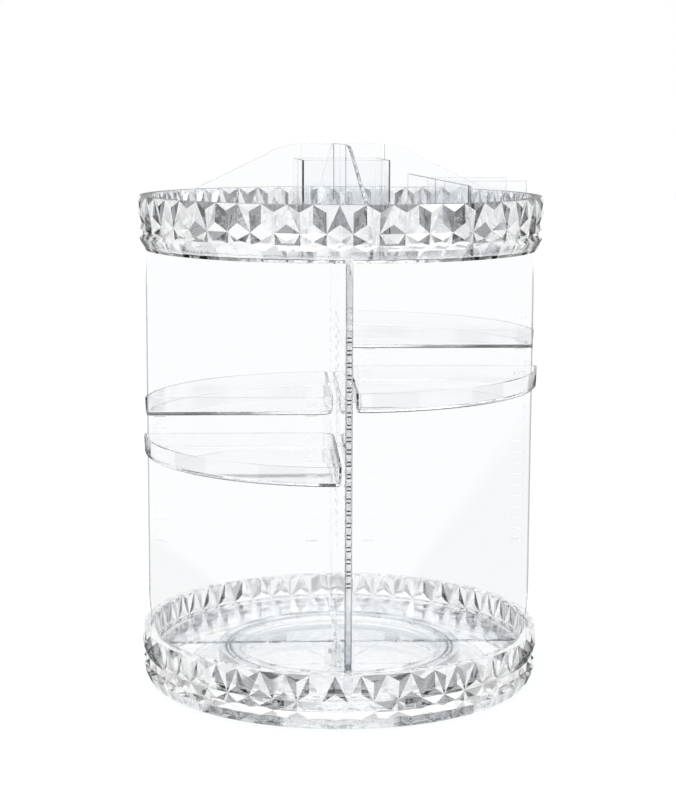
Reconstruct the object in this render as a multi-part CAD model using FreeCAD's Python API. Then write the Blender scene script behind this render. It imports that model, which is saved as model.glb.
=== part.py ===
"""Rotating makeup organizer: a clear cross of panels between two faceted trays, on a ball-ring foot.

Millimetres, +Z up, origin on the table under the turning axis. Front is -Y.
Run from its own folder, it writes one STEP file per piece to parts/.
"""
import FreeCAD, Part
import math
import os

# ---- driving dimensions -------------------------------------------------------------------------
# rims of both trays: rows of facets between alternating columns
crest_diameter = 240.0          # over the facet points
rim_height = 31.5
facet_cells = 52                # facet columns round the rim
bottom_rim_turn = 0.5           # cells between the panel on the right and the first crest
top_rim_turn = 0.62
edge_inset = 1.0                # each row's corners lie this far inside the crest
shoulder_inset = 0.3
valley_inset = 2.0              # star points between the crests
low_crest_inset = 0.8
fold_inset = 3.1                # creases of the waist, either side of each star column
waist_inset = 2.7
knee_inset = 0.8                # lower bulge, at the crest columns
hem_inset = 1.7                 # lower bulge, at the star columns
split_inset = 2.4
rim_foot_inset = 3.8
shoulder_drop = 0.13            # heights of the facet rows, as parts of the rim height from its top
crest_drop = 0.33
valley_drop = 0.495
low_crest_drop = 0.62
fold_drop = 0.67
waist_drop = 0.7
hem_drop = 0.79
split_drop = 0.86
rim_wall = 5.0                  # behind the star points, at the rim's top
bore_narrowing = 0.5            # how much narrower the inside is at the floor
bore_floor_fillet = 2.5
floor_thickness = 2.4

# stack of the whole
rim_ground_gap = 2.5            # bottom rim above the table
bottom_well_depth = 14.0        # from the bottom rim's top down to its floor
column_height = 227.5           # bottom rim's top to top rim's bottom

# panels
panel_thickness = 4.0
panel_inset = 4.0               # outer edges of the panels inside the rims' crests
panel_corner_relief = 1.3       # the outer edge bows in this much at both ends
panel_corner_run = 26.0
panel_edge_round = 0.8          # along the outer edges
mitre_gap = 0.05                # between the mitred inner ends of neighbouring panels
tongue_thickness = 3.0
tongue_length = 18.0
tongue_starts = (34.0, 82.0)    # distance from the axis
tongue_clearance = 0.1
channel_rib_thickness = 1.6
channel_rib_height = 4.0
channel_rib_start = 12.0

# notch rails, on both faces of each panel
notch_count = 21
notch_pitch = 6.8
notch_rise = 50.3               # bottom rim's top to the middle of the first notch
notch_height = 2.2
lug_clearance = 0.2             # above and below a lug, and at its tip
lug_length = 5.5
lug_reach = 1.0                 # how far a lug enters its notch
inner_lug_start = 14.0
outer_lug_inset = 12.8          # start of the outer lugs inside the shelf's round front

# shelf trays
shelf_inset = 2.2               # round fronts of the shelves inside the rims' crests
shelf_height = 11.0
shelf_wall = 1.8
shelf_floor = 2.0
shelf_side_gap = 1.8            # between a shelf's straight side and the panel's face
shelf_side_narrowing = 0.3      # how much narrower a shelf is at its bottom
shelf_front_narrowing = 0.5
shelf_outer_corner = 3.2
shelf_inner_corner = 8.0
shelf_bottom_round = 2.0
shelf_inner_round = 0.9
lug_drop = 5.0                  # lug's middle below the shelf's top
shelf_notches = {
    "shelf_front_left": 9,
    "shelf_rear_left": 12,
    "shelf_front_right": 15,
    "shelf_rear_right": 18,
}

# divider insert of the top tray
insert_turn = 6.0               # degrees from the panels' directions
insert_seat_gap = 0.1
sheet = 2.0                     # thickness of all insert plates
sheet_clearance = 0.1
insert_end_gap = 0.3            # between the insert and the round of the tray's floor
plate_peak_height = 59.0        # above the top tray's floor
plate_peak_half = 24.0
plate_hip_reach = 46.0
plate_hip_height = 52.2
plate_end_height = 21.8
plate_end_round = 4.0
collar_half = 26.0              # half the brush collar's width
collar_height = 50.0
collar_round = 5.0
cell_wall_offset = 58.0         # low wall of the lipstick cells
cell_height = 38.0
cell_depth = 26.0               # cell partitions, from the middle plate
tab_length = 12.0

# foot and ball ring
foot_gap = 16.0                 # between the foot's edge and the recess around it
foot_thickness = 2.4
foot_bottom = 1.2
foot_lip_height = 2.4
foot_lip_width = 2.0
foot_ribs = 6
foot_rib_thickness = 2.0
foot_rib_height = 3.4
pad_count = 6
pad_radius = 7.0
pad_thickness = 2.0
pad_inset = 10.0                # pad centres inside the foot's edge
ball_count = 16
ball_diameter = 6.0
ball_circle_radius = 68.0
ball_clearance = 0.15           # between a ball and its grooves
cage_clearance = 0.25           # between a ball and its cage
race_gap = 4.0                  # between the two race faces
race_width = 12.0
cage_width = 11.0
cage_thickness = 2.0
ball_centre_z = 10.0
recess_wall = 8.2               # rim left around the recess at its foot

# pivot
hub_radius = 9.0
hub_top = 12.0
hub_running_gap = 0.3
bush_radius = 5.0
bush_fit = 0.02
shank_radius = 3.0
shank_running_gap = 0.06
thread_radius = 2.5
thread_cover = 1.5              # floor left over the thread hole
thread_fit = 0.02
thread_end_gap = 0.2
counterbore_radius = 7.0
counterbore_depth = 3.2
washer_radius = 6.2
washer_thickness = 0.8
washer_gap = 0.1
screw_head_radius = 4.8
screw_head_height = 1.7
cross_slot_length = 5.0
cross_slot_width = 1.1
cross_slot_depth = 1.0

# ---- derived sizes ------------------------------------------------------------------------------
crest_radius = crest_diameter / 2
edge_radius = crest_radius - edge_inset
shoulder_radius = crest_radius - shoulder_inset
valley_radius = crest_radius - valley_inset
low_crest_radius = crest_radius - low_crest_inset
fold_radius = crest_radius - fold_inset
waist_radius = crest_radius - waist_inset
knee_radius = crest_radius - knee_inset
hem_radius = crest_radius - hem_inset
split_radius = crest_radius - split_inset
rim_foot_radius = crest_radius - rim_foot_inset
facet_half_angle = math.pi / facet_cells
bore_radius = valley_radius - rim_wall
bore_low_radius = bore_radius - bore_narrowing
flat_floor_radius = bore_low_radius - bore_floor_fillet
recess_radius = rim_foot_radius - recess_wall
panel_radius = crest_radius - panel_inset
shelf_radius = crest_radius - shelf_inset
foot_radius = recess_radius - foot_gap
pad_circle_radius = foot_radius - pad_inset
bottom_rim_z = rim_ground_gap
bottom_rim_top = bottom_rim_z + rim_height
bottom_floor_z = bottom_rim_top - bottom_well_depth
top_rim_z = bottom_rim_top + column_height
top_rim_top = top_rim_z + rim_height
top_floor_z = top_rim_z + floor_thickness
panel_half = panel_thickness / 2
notch_first_z = bottom_rim_top + notch_rise
notch_depth = lug_reach + lug_clearance
outer_lug_start = shelf_radius - outer_lug_inset
shelf_side = panel_half + shelf_side_gap
insert_z = top_floor_z + insert_seat_gap
plate_reach = flat_floor_radius - insert_end_gap
slot_width = sheet + 2 * sheet_clearance
ball_radius = ball_diameter / 2
lower_race_z = ball_centre_z - race_gap / 2
upper_race_z = ball_centre_z + race_gap / 2
foot_top = foot_bottom + foot_thickness
boss_bottom = hub_top + hub_running_gap
thread_length = bottom_floor_z - thread_cover - thread_end_gap - boss_bottom
quadrant_angles = {"rear_right": 0.0, "rear_left": 90.0, "front_left": 180.0, "front_right": 270.0}
panel_angles = {"right": 0.0, "rear": 90.0, "left": 180.0, "front": 270.0}

AXIS = FreeCAD.Vector(0, 0, 1)
ORIGIN = FreeCAD.Vector(0, 0, 0)


# ---- helpers ------------------------------------------------------------------------------------
def vec(x, y, z):
    return FreeCAD.Vector(x, y, z)


def turned(shape, degrees):
    """A copy of the shape turned about the main axis."""
    copy = shape.copy()
    copy.rotate(ORIGIN, AXIS, degrees)
    return copy


def box(x0, x1, y0, y1, z0, z1):
    """Box between two corners."""
    return Part.makeBox(x1 - x0, y1 - y0, z1 - z0, vec(x0, y0, z0))


def disc(radius, z0, z1, x=0.0, y=0.0):
    """Upright cylinder."""
    return Part.makeCylinder(radius, z1 - z0, vec(x, y, z0))


def ring(inner, outer, z0, z1):
    """Flat ring about the main axis."""
    return disc(outer, z0, z1).cut(disc(inner, z0, z1))


def fused(shapes):
    """All shapes as one solid, without seams between flush faces."""
    return shapes[0].fuse(shapes[1:]).removeSplitter()


def on_circle(radius, count):
    """Evenly spaced points on a circle about the axis."""
    for index in range(count):
        angle = 2 * math.pi * index / count
        yield radius * math.cos(angle), radius * math.sin(angle)


# ---- faceted rim --------------------------------------------------------------------------------
def rim_row(radius, drop, offset, top):
    """One row of facet corners, its first one offset cells round from the panel on the right."""
    row = []
    for index in range(facet_cells):
        angle = 2 * facet_half_angle * (index + offset)
        row.append(vec(radius * math.cos(angle), radius * math.sin(angle), top - drop * rim_height))
    return row


def faceted_drum(z0, turn):
    """Solid drum whose outside is the diamond-cut rim, sewn from its facets. Its crests start at turn."""
    top = z0 + rim_height
    between = turn + 0.5
    edge = rim_row(edge_radius, 0, turn, top)
    shoulder = rim_row(shoulder_radius, shoulder_drop, between, top)
    crest = rim_row(crest_radius, crest_drop, turn, top)
    valley = rim_row(valley_radius, valley_drop, between, top)
    low_crest = rim_row(low_crest_radius, low_crest_drop, turn, top)
    fold_before = rim_row(fold_radius, fold_drop, between - 0.25, top)
    fold_after = rim_row(fold_radius, fold_drop, between + 0.25, top)
    waist = rim_row(waist_radius, waist_drop, between, top)
    knee = rim_row(knee_radius, hem_drop, turn, top)
    hem = rim_row(hem_radius, hem_drop, between, top)
    split = rim_row(split_radius, split_drop, between, top)
    foot = rim_row(rim_foot_radius, 1, turn, top)
    outlines = [edge, foot]
    for this in range(facet_cells):
        following = (this + 1) % facet_cells
        before = this - 1
        outlines += [
            [edge[this], shoulder[this], edge[following]],
            [edge[this], crest[this], valley[this]],
            [edge[this], valley[this], shoulder[this]],
            [edge[following], shoulder[this], valley[this]],
            [edge[following], valley[this], crest[following]],
            [crest[this], valley[before], valley[this]],
            [low_crest[this], valley[this], valley[before]],
            [valley[this], low_crest[this], fold_before[this]],
            [valley[this], fold_before[this], waist[this]],
            [valley[this], waist[this], fold_after[this]],
            [valley[this], fold_after[this], low_crest[following]],
            [low_crest[this], fold_after[before], fold_before[this]],
            [fold_after[before], waist[before], waist[this], fold_before[this]],
            [waist[before], knee[this], waist[this]],
            [waist[this], knee[this], hem[this]],
            [waist[this], hem[this], knee[following]],
            [knee[this], hem[before], foot[this]],
            [knee[this], foot[this], hem[this]],
            [hem[before], split[before], foot[this]],
            [hem[this], foot[this], split[this]],
            [split[this], foot[this], foot[following]],
        ]
    faces = [Part.Face(Part.makePolygon(points + [points[0]])) for points in outlines]
    shell = Part.makeShell(faces)
    shell.sewShape()
    solid = Part.makeSolid(shell if shell.ShapeType == "Shell" else shell.Shells[0])
    if solid.Volume < 0:
        solid.reverse()
    return solid


def rim_well(floor_z, top):
    """The round hollow above a tray's floor: drafted wall, rounded into the floor."""
    bend = bore_floor_fillet * (1 - math.sqrt(0.5))
    corner_in = vec(flat_floor_radius, 0, floor_z)
    corner_mid = vec(bore_low_radius - bend, 0, floor_z + bend)
    corner_out = vec(bore_low_radius, 0, floor_z + bore_floor_fillet)
    rim_top = vec(bore_radius, 0, top)
    axis_top = vec(0, 0, top)
    axis_low = vec(0, 0, floor_z)
    edges = [
        Part.LineSegment(axis_low, corner_in).toShape(),
        Part.Arc(corner_in, corner_mid, corner_out).toShape(),
        Part.LineSegment(corner_out, rim_top).toShape(),
        Part.LineSegment(rim_top, axis_top).toShape(),
        Part.LineSegment(axis_top, axis_low).toShape(),
    ]
    return Part.Face(Part.Wire(edges)).revolve(ORIGIN, AXIS, 360)


def tongue_slots(z0, z1):
    """Slots through a tray's floor for the tongues of the four panels."""
    half = tongue_thickness / 2 + tongue_clearance
    slots = []
    for start in tongue_starts:
        slot = box(start - tongue_clearance, start + tongue_length + tongue_clearance, -half, half, z0, z1)
        slots += [turned(slot, angle) for angle in panel_angles.values()]
    return slots


# ---- trays --------------------------------------------------------------------------------------
def panel_channels():
    """Pairs of ribs on the bottom tray's floor that hold the feet of the panels."""
    inner = panel_half + tongue_clearance
    outer = inner + channel_rib_thickness
    end = flat_floor_radius
    ribs = []
    for angle in panel_angles.values():
        for low, high in ((inner, outer), (-outer, -inner)):
            rib = box(channel_rib_start, end, low, high, bottom_floor_z, bottom_floor_z + channel_rib_height)
            ribs.append(turned(rib, angle))
    return ribs


def bottom_tray():
    """Tray with the turntable recess, the upper ball race and the screw boss under its floor."""
    tray = faceted_drum(bottom_rim_z, bottom_rim_turn)
    under_floor = bottom_floor_z - floor_thickness
    recess = disc(recess_radius, bottom_rim_z, under_floor)
    race = ring(
        ball_circle_radius - race_width / 2, ball_circle_radius + race_width / 2, upper_race_z, under_floor
    )
    recess = recess.cut(race.fuse(disc(hub_radius, boss_bottom, under_floor)))
    tray = tray.cut([rim_well(bottom_floor_z, bottom_rim_top), recess])
    tray = fused([tray] + panel_channels())
    tray = tray.cut(tongue_slots(under_floor, bottom_floor_z) + [ball_groove(), thread_hole()])
    return tray


def top_tray():
    """Tray that closes the cross of panels."""
    tray = faceted_drum(top_rim_z, top_rim_turn)
    return tray.cut([rim_well(top_floor_z, top_rim_top)] + tongue_slots(top_rim_z, top_floor_z))


# ---- panels -------------------------------------------------------------------------------------
def panel_outline():
    """Upright outline of a panel from the axis to its bowed outer edge."""
    low_z = bottom_floor_z
    shoulder_z = bottom_rim_top
    end_radius = panel_radius - panel_corner_relief
    mid_radius = panel_radius - panel_corner_relief / 4
    low_bow = [
        vec(end_radius, 0, shoulder_z),
        vec(mid_radius, 0, shoulder_z + panel_corner_run / 2),
        vec(panel_radius, 0, shoulder_z + panel_corner_run),
    ]
    high_bow = [
        vec(panel_radius, 0, top_rim_z - panel_corner_run),
        vec(mid_radius, 0, top_rim_z - panel_corner_run / 2),
        vec(end_radius, 0, top_rim_z),
    ]
    foot = [
        vec(0, 0, low_z),
        vec(flat_floor_radius, 0, low_z),
        vec(flat_floor_radius, 0, shoulder_z),
        low_bow[0],
    ]
    edges = [Part.LineSegment(start, end).toShape() for start, end in zip(foot, foot[1:])]
    edges.append(Part.Arc(*low_bow).toShape())
    edges.append(Part.LineSegment(low_bow[2], high_bow[0]).toShape())
    edges.append(Part.Arc(*high_bow).toShape())
    edges.append(Part.LineSegment(high_bow[2], vec(0, 0, top_rim_z)).toShape())
    edges.append(Part.LineSegment(vec(0, 0, top_rim_z), foot[0]).toShape())
    return Part.Face(Part.Wire(edges))


def mitre_wedge():
    """Quarter wedge that trims a panel's inner end to its mitre."""
    reach = 2 * panel_radius
    corners = [vec(mitre_gap, 0, 0), vec(mitre_gap + reach, reach, 0), vec(mitre_gap + reach, -reach, 0)]
    wedge = Part.Face(Part.makePolygon(corners + [corners[0]]))
    return wedge.extrude(vec(0, 0, top_rim_top))


def notches():
    """The notch rails of one panel: an inner and an outer rail on each face."""
    tip = panel_half - notch_depth
    travel = lug_reach + lug_clearance
    pockets = []
    for index in range(notch_count):
        low = notch_first_z + index * notch_pitch - notch_height / 2
        for start in (inner_lug_start, outer_lug_start):
            begin = start - lug_clearance
            end = start + lug_length + travel
            pockets.append(box(begin, end, tip, panel_half, low, low + notch_height))
            pockets.append(box(begin, end, -panel_half, -tip, low, low + notch_height))
    return pockets


def is_outer_upright(edge):
    """Whether an edge of a panel runs up its outer side, above the bottom tray."""
    bounds = edge.BoundBox
    return bounds.XMin > flat_floor_radius + panel_edge_round and bounds.ZLength > panel_corner_run / 2


def panel_blank():
    """One panel along +X, with its tongues and notch rails."""
    plate = panel_outline().extrude(vec(0, panel_thickness, 0))
    plate.translate(vec(0, -panel_half, 0))
    plate = plate.makeFillet(panel_edge_round, [edge for edge in plate.Edges if is_outer_upright(edge)])
    plate = plate.common(mitre_wedge())
    half = tongue_thickness / 2
    tongues = []
    for start in tongue_starts:
        end = start + tongue_length
        tongues.append(box(start, end, -half, half, bottom_floor_z - floor_thickness, bottom_floor_z))
        tongues.append(box(start, end, -half, half, top_rim_z, top_floor_z))
    return fused([plate] + tongues).cut(notches())


# ---- shelf trays --------------------------------------------------------------------------------
def shelf_wire(side, radius, outer_corner, inner_corner, z):
    """Rounded quarter-disc outline in the +X +Y quadrant, its sides at distance side from the axes."""
    reach = math.sqrt((radius - outer_corner) ** 2 - (side + outer_corner) ** 2)
    stretch = radius / (radius - outer_corner)
    lean = math.atan2(side + outer_corner, reach)
    middle = (lean - math.pi / 2) / 2
    line_end = vec(reach, side, z)
    corner_mid = vec(
        reach + outer_corner * math.cos(middle), side + outer_corner + outer_corner * math.sin(middle), z
    )
    arc_start = vec(reach * stretch, (side + outer_corner) * stretch, z)
    arc_mid = vec(radius * math.sqrt(0.5), radius * math.sqrt(0.5), z)
    inner_centre = side + inner_corner
    inner_mid = inner_centre - inner_corner * math.sqrt(0.5)

    def mirrored(point):
        return vec(point.y, point.x, point.z)

    line_start = vec(inner_centre, side, z)
    edges = [
        Part.LineSegment(line_start, line_end).toShape(),
        Part.Arc(line_end, corner_mid, arc_start).toShape(),
        Part.Arc(arc_start, arc_mid, mirrored(arc_start)).toShape(),
        Part.Arc(mirrored(arc_start), mirrored(corner_mid), mirrored(line_end)).toShape(),
        Part.LineSegment(mirrored(line_end), mirrored(line_start)).toShape(),
        Part.Arc(mirrored(line_start), vec(inner_mid, inner_mid, z), line_start).toShape(),
    ]
    return Part.Wire(edges)


def rounded_block(inset, z0, z1, fillet):
    """Drafted quarter block, smaller all round by inset, with its bottom edge rounded."""
    corner = shelf_outer_corner - inset
    inner = shelf_inner_corner - inset
    low_side = shelf_side + shelf_side_narrowing + inset
    low_radius = shelf_radius - shelf_front_narrowing - inset
    low = shelf_wire(low_side, low_radius, corner, inner, z0)
    high = shelf_wire(shelf_side + inset, shelf_radius - inset, corner, inner, z1)
    block = Part.makeLoft([low, high], True, True)
    bottom_edges = [edge for edge in block.Edges if edge.BoundBox.ZMax < z0 + 1e-4]
    return block.makeFillet(fillet, bottom_edges)


def shelf_lugs():
    """Lugs on both straight sides, reaching into the panels' notches, with their middle at height 0."""
    half = notch_height / 2 - lug_clearance
    tip = panel_half - lug_reach
    root = shelf_side + shelf_side_narrowing + shelf_wall / 2
    lugs = []
    for start in (inner_lug_start, outer_lug_start):
        lugs.append(box(start, start + lug_length, tip, root, -half, half))
        lugs.append(box(tip, root, start, start + lug_length, -half, half))
    return lugs


def shelf_blank():
    """One shelf tray in the +X +Y quadrant, with the middle of its lugs at height 0."""
    bottom = lug_drop - shelf_height
    outside = rounded_block(0, bottom, lug_drop, shelf_bottom_round)
    inside = rounded_block(shelf_wall, bottom + shelf_floor, lug_drop, shelf_inner_round)
    return fused([outside.cut(inside)] + shelf_lugs())


def hooked(shelf, notch):
    """A copy of the shelf, hooked in the given notch."""
    copy = shelf.copy()
    copy.translate(vec(0, 0, notch_first_z + notch * notch_pitch))
    return copy


# ---- divider insert -----------------------------------------------------------------------------
def hill_plate():
    """Tall divider plate along X: a flat peak, a rounded hip and a slope to each end."""
    top = insert_z + plate_peak_height
    hip_z = insert_z + plate_hip_height
    end_z = insert_z + plate_end_height
    hip_mid_x = (plate_peak_half + plate_hip_reach) / 2
    hip_mid_z = (top + hip_z) / 2 + (top - hip_z) / 4
    edges = []
    for side in (1, -1):
        peak = vec(side * plate_peak_half, 0, top)
        hip = vec(side * plate_hip_reach, 0, hip_z)
        shoulder = vec(side * plate_reach, 0, end_z)
        foot = vec(side * plate_reach, 0, insert_z)
        edges += [
            Part.Arc(peak, vec(side * hip_mid_x, 0, hip_mid_z), hip).toShape(),
            Part.LineSegment(hip, shoulder).toShape(),
            Part.LineSegment(shoulder, foot).toShape(),
        ]
    edges.append(Part.LineSegment(vec(-plate_peak_half, 0, top), vec(plate_peak_half, 0, top)).toShape())
    edges.append(Part.LineSegment(vec(-plate_reach, 0, insert_z), vec(plate_reach, 0, insert_z)).toShape())
    plate = Part.Face(Part.Wire(Part.__sortEdges__(edges))).extrude(vec(0, sheet, 0))
    plate.translate(vec(0, -sheet / 2, 0))
    corners = [edge for edge in plate.Edges if is_plate_corner(edge, end_z)]
    return plate.makeFillet(plate_end_round, corners)


def is_plate_corner(edge, end_z):
    """Whether an edge crosses the plate at the top of one of its ends."""
    bounds = edge.BoundBox
    return bounds.ZLength < 1e-4 and bounds.XLength < 1e-4 and abs(bounds.ZMin - end_z) < 1e-4


def half_slot(x, half_width, from_bottom, split_z, half_thickness):
    """Half of a halved joint: a slot across a plate that lies along X, at x, below or above split_z."""
    low = insert_z if from_bottom else split_z - sheet_clearance
    high = split_z + sheet_clearance if from_bottom else insert_z + plate_peak_height
    return box(x - half_width, x + half_width, -half_thickness, half_thickness, low, high)


def halving_height(height):
    """Height at which two crossing plates share a joint."""
    return insert_z + height / 2


def divider_plate_left_right():
    """Plate along X: slots for the other tall plate, the collar and the cell wall."""
    half = slot_width / 2
    cuts = [half_slot(0, half, False, halving_height(plate_peak_height), sheet)]
    collar_x = collar_half - sheet / 2
    cuts += [half_slot(x, half, False, halving_height(collar_height), sheet) for x in (collar_x, -collar_x)]
    cuts.append(half_slot(cell_wall_offset, half, True, halving_height(cell_height), sheet))
    return hill_plate().cut(cuts)


def divider_plate_front_rear():
    """Plate along Y: slots for the other tall plate and the collar."""
    half = slot_width / 2
    cuts = [half_slot(0, half, True, halving_height(plate_peak_height), sheet)]
    collar_x = collar_half - sheet / 2
    cuts += [half_slot(x, half, False, halving_height(collar_height), sheet) for x in (collar_x, -collar_x)]
    return turned(hill_plate().cut(cuts), 90)


def rounded_square(half, round_radius, z0, z1):
    """Square block with rounded upright corners."""
    block = box(-half, half, -half, half, z0, z1)
    uprights = [edge for edge in block.Edges if edge.BoundBox.ZLength > (z1 - z0) / 2]
    return block.makeFillet(round_radius, uprights)


def brush_collar():
    """Square collar that drops over the crossing plates and makes four brush cells."""
    top = insert_z + collar_height
    tube = rounded_square(collar_half, collar_round, insert_z, top)
    tube = tube.cut(rounded_square(collar_half - sheet, collar_round - sheet, insert_z, top))
    split_z = halving_height(collar_height) + sheet_clearance
    half = slot_width / 2
    slot_x = box(-collar_half, collar_half, -half, half, insert_z, split_z)
    return tube.cut([slot_x, turned(slot_x, 90)])


def reach_at(offset):
    """How far a plate at this offset from the axis can run before it meets the round of the floor."""
    return math.sqrt(plate_reach ** 2 - (offset + sheet / 2) ** 2)


def lipstick_wall():
    """Low wall along Y that closes the lipstick cells towards the middle."""
    half = sheet / 2
    top = insert_z + cell_height
    reach = reach_at(cell_wall_offset)
    wall = box(cell_wall_offset - half, cell_wall_offset + half, -reach, reach, insert_z, top)
    near, far = cell_wall_offset - sheet, cell_wall_offset + sheet
    crossing = slot_width / 2
    split_z = halving_height(cell_height) - sheet_clearance
    cuts = [box(near, far, -crossing, crossing, split_z, top)]
    tab_half = tab_length / 2 + sheet_clearance
    tab_z = insert_z + cell_height / 2
    for side in (cell_depth, -cell_depth):
        cuts.append(box(near, far, side - crossing, side + crossing, tab_z - tab_half, tab_z + tab_half))
    return wall.cut(cuts)


def lipstick_partition(side):
    """Short wall from the low wall towards the rim, tabbed through the low wall."""
    half = sheet / 2
    start = cell_wall_offset + half
    top = insert_z + cell_height
    wall = box(start, reach_at(cell_depth), side - half, side + half, insert_z, top)
    tab_half = tab_length / 2
    tab_z = insert_z + cell_height / 2
    tab = box(start - sheet, start, side - half, side + half, tab_z - tab_half, tab_z + tab_half)
    return fused([wall, tab])


# ---- foot and ball ring -------------------------------------------------------------------------
def ball_groove():
    """Groove of both races: a torus round the ball circle."""
    return Part.makeTorus(ball_circle_radius, ball_radius + ball_clearance, vec(0, 0, ball_centre_z))


def pad_centres():
    """Where the pads sit in the foot."""
    return on_circle(pad_circle_radius, pad_count)


def thread_hole():
    """Blind hole for the pivot screw in the bottom tray's boss."""
    return disc(thread_radius + thread_fit, boss_bottom, boss_bottom + thread_length + thread_end_gap)


def base_plate():
    """Foot disc with the lower race, the pivot hub, ribs and pockets for the pads."""
    race_inner = ball_circle_radius - race_width / 2
    race_outer = ball_circle_radius + race_width / 2
    pieces = [
        disc(foot_radius, foot_bottom, foot_top),
        ring(foot_radius - foot_lip_width, foot_radius, foot_top, foot_top + foot_lip_height),
        ring(race_inner, race_outer, foot_top, lower_race_z),
        disc(hub_radius, foot_top, hub_top),
    ]
    half = foot_rib_thickness / 2
    overlap = foot_rib_thickness / 2
    rib_top = foot_top + foot_rib_height
    rib = box(hub_radius - overlap, race_inner + overlap, -half, half, foot_top, rib_top)
    pieces += [turned(rib, 360 * index / foot_ribs) for index in range(foot_ribs)]
    cuts = [
        ball_groove(),
        disc(counterbore_radius, foot_bottom, foot_bottom + counterbore_depth),
        disc(bush_radius + bush_fit, foot_bottom, hub_top),
    ]
    cuts += [disc(pad_radius, foot_bottom, pad_thickness, x, y) for x, y in pad_centres()]
    return fused(pieces).cut(cuts)


def foot_pads():
    """The rubber pads, standing on the table."""
    return Part.makeCompound([disc(pad_radius, 0, pad_thickness, x, y) for x, y in pad_centres()])


def pivot_bush():
    """Sleeve pressed in the hub."""
    outside = disc(bush_radius, foot_bottom + counterbore_depth, hub_top)
    return outside.cut(disc(shank_radius + shank_running_gap, foot_bottom, hub_top))


def washer_top():
    """Height of the washer's upper face, just under the floor of the counterbore."""
    return foot_bottom + counterbore_depth - washer_gap


def pivot_washer():
    """Washer under the screw's head, clear of the hub."""
    top = washer_top()
    hole = shank_radius + shank_running_gap
    return ring(hole, washer_radius, top - washer_thickness, top)


def pivot_screw():
    """Shoulder screw from below: head, running shank and thread core."""
    head_top = washer_top() - washer_thickness
    head_bottom = head_top - screw_head_height
    pieces = [
        disc(screw_head_radius, head_bottom, head_top),
        disc(shank_radius, head_top, boss_bottom),
        disc(thread_radius, boss_bottom, boss_bottom + thread_length),
    ]
    half_length = cross_slot_length / 2
    half_width = cross_slot_width / 2
    slot_end = head_bottom + cross_slot_depth
    slot = box(-half_length, half_length, -half_width, half_width, head_bottom, slot_end)
    return fused(pieces).cut([slot, turned(slot, 90)])


def ball_cage():
    """Flat ring with a hole for each ball."""
    half_width = cage_width / 2
    half_height = cage_thickness / 2
    low, high = ball_centre_z - half_height, ball_centre_z + half_height
    cage = ring(ball_circle_radius - half_width, ball_circle_radius + half_width, low, high)
    hole_radius = ball_radius + cage_clearance
    centres = on_circle(ball_circle_radius, ball_count)
    return cage.cut([disc(hole_radius, low, high, x, y) for x, y in centres])


def bearing_balls():
    """The steel balls."""
    centres = [vec(x, y, ball_centre_z) for x, y in on_circle(ball_circle_radius, ball_count)]
    return Part.makeCompound([Part.makeSphere(ball_radius, centre) for centre in centres])


# ---- the whole ----------------------------------------------------------------------------------
def assembly():
    """Every piece by its name."""
    pieces = {
        "base_plate": base_plate(),
        "foot_pads": foot_pads(),
        "pivot_bush": pivot_bush(),
        "pivot_screw": pivot_screw(),
        "pivot_washer": pivot_washer(),
        "ball_cage": ball_cage(),
        "bearing_balls": bearing_balls(),
        "bottom_tray": bottom_tray(),
        "top_tray": top_tray(),
    }
    panel = panel_blank()
    for place, angle in panel_angles.items():
        pieces["panel_" + place] = turned(panel, angle)
    shelf = shelf_blank()
    for name, notch in shelf_notches.items():
        pieces[name] = turned(hooked(shelf, notch), quadrant_angles[name.replace("shelf_", "")])
    insert = {
        "divider_plate_left_right": divider_plate_left_right(),
        "divider_plate_front_rear": divider_plate_front_rear(),
        "brush_collar": brush_collar(),
        "lipstick_wall": lipstick_wall(),
        "lipstick_partition_front": lipstick_partition(-cell_depth),
        "lipstick_partition_rear": lipstick_partition(cell_depth),
    }
    for name, piece in insert.items():
        pieces[name] = turned(piece, insert_turn)
    return pieces


def main():
    os.makedirs("parts", exist_ok=True)
    for name, piece in assembly().items():
        piece.exportStep("parts/" + name + ".step")
        print(name, "solids", len(piece.Solids), "valid", piece.isValid(), "volume", round(piece.Volume, 1))


main()
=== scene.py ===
"""Clear rotating makeup organizer: finishes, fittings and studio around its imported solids.

Metres, +Z up, the front towards -Y. The solids come as a fixed frame. The clear mouldings keep
their shape and get softened edges and their finish; the rubber pads under the foot and the pivot
screw are modelled here.
"""
from __future__ import annotations

import logging
import math
from collections.abc import Callable, Iterable
from dataclasses import dataclass
from enum import Enum

import bmesh
import bpy
from mathutils import Matrix, Vector

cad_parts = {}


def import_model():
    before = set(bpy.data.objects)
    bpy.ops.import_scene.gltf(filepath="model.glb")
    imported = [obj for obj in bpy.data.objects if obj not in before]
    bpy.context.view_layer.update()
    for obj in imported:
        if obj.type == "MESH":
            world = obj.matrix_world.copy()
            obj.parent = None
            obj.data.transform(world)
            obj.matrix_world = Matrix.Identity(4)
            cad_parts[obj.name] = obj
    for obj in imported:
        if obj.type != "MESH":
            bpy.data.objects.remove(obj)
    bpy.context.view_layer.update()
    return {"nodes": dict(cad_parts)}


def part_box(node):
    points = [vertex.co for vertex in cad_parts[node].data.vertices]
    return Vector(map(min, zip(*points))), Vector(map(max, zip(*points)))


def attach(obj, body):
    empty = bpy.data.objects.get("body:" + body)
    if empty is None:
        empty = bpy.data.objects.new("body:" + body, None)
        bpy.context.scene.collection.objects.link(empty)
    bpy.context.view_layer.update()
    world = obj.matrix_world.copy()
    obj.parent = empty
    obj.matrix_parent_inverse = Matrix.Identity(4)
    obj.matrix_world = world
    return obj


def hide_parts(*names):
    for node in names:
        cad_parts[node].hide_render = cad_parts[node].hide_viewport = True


log = logging.getLogger("organizer")

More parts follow.
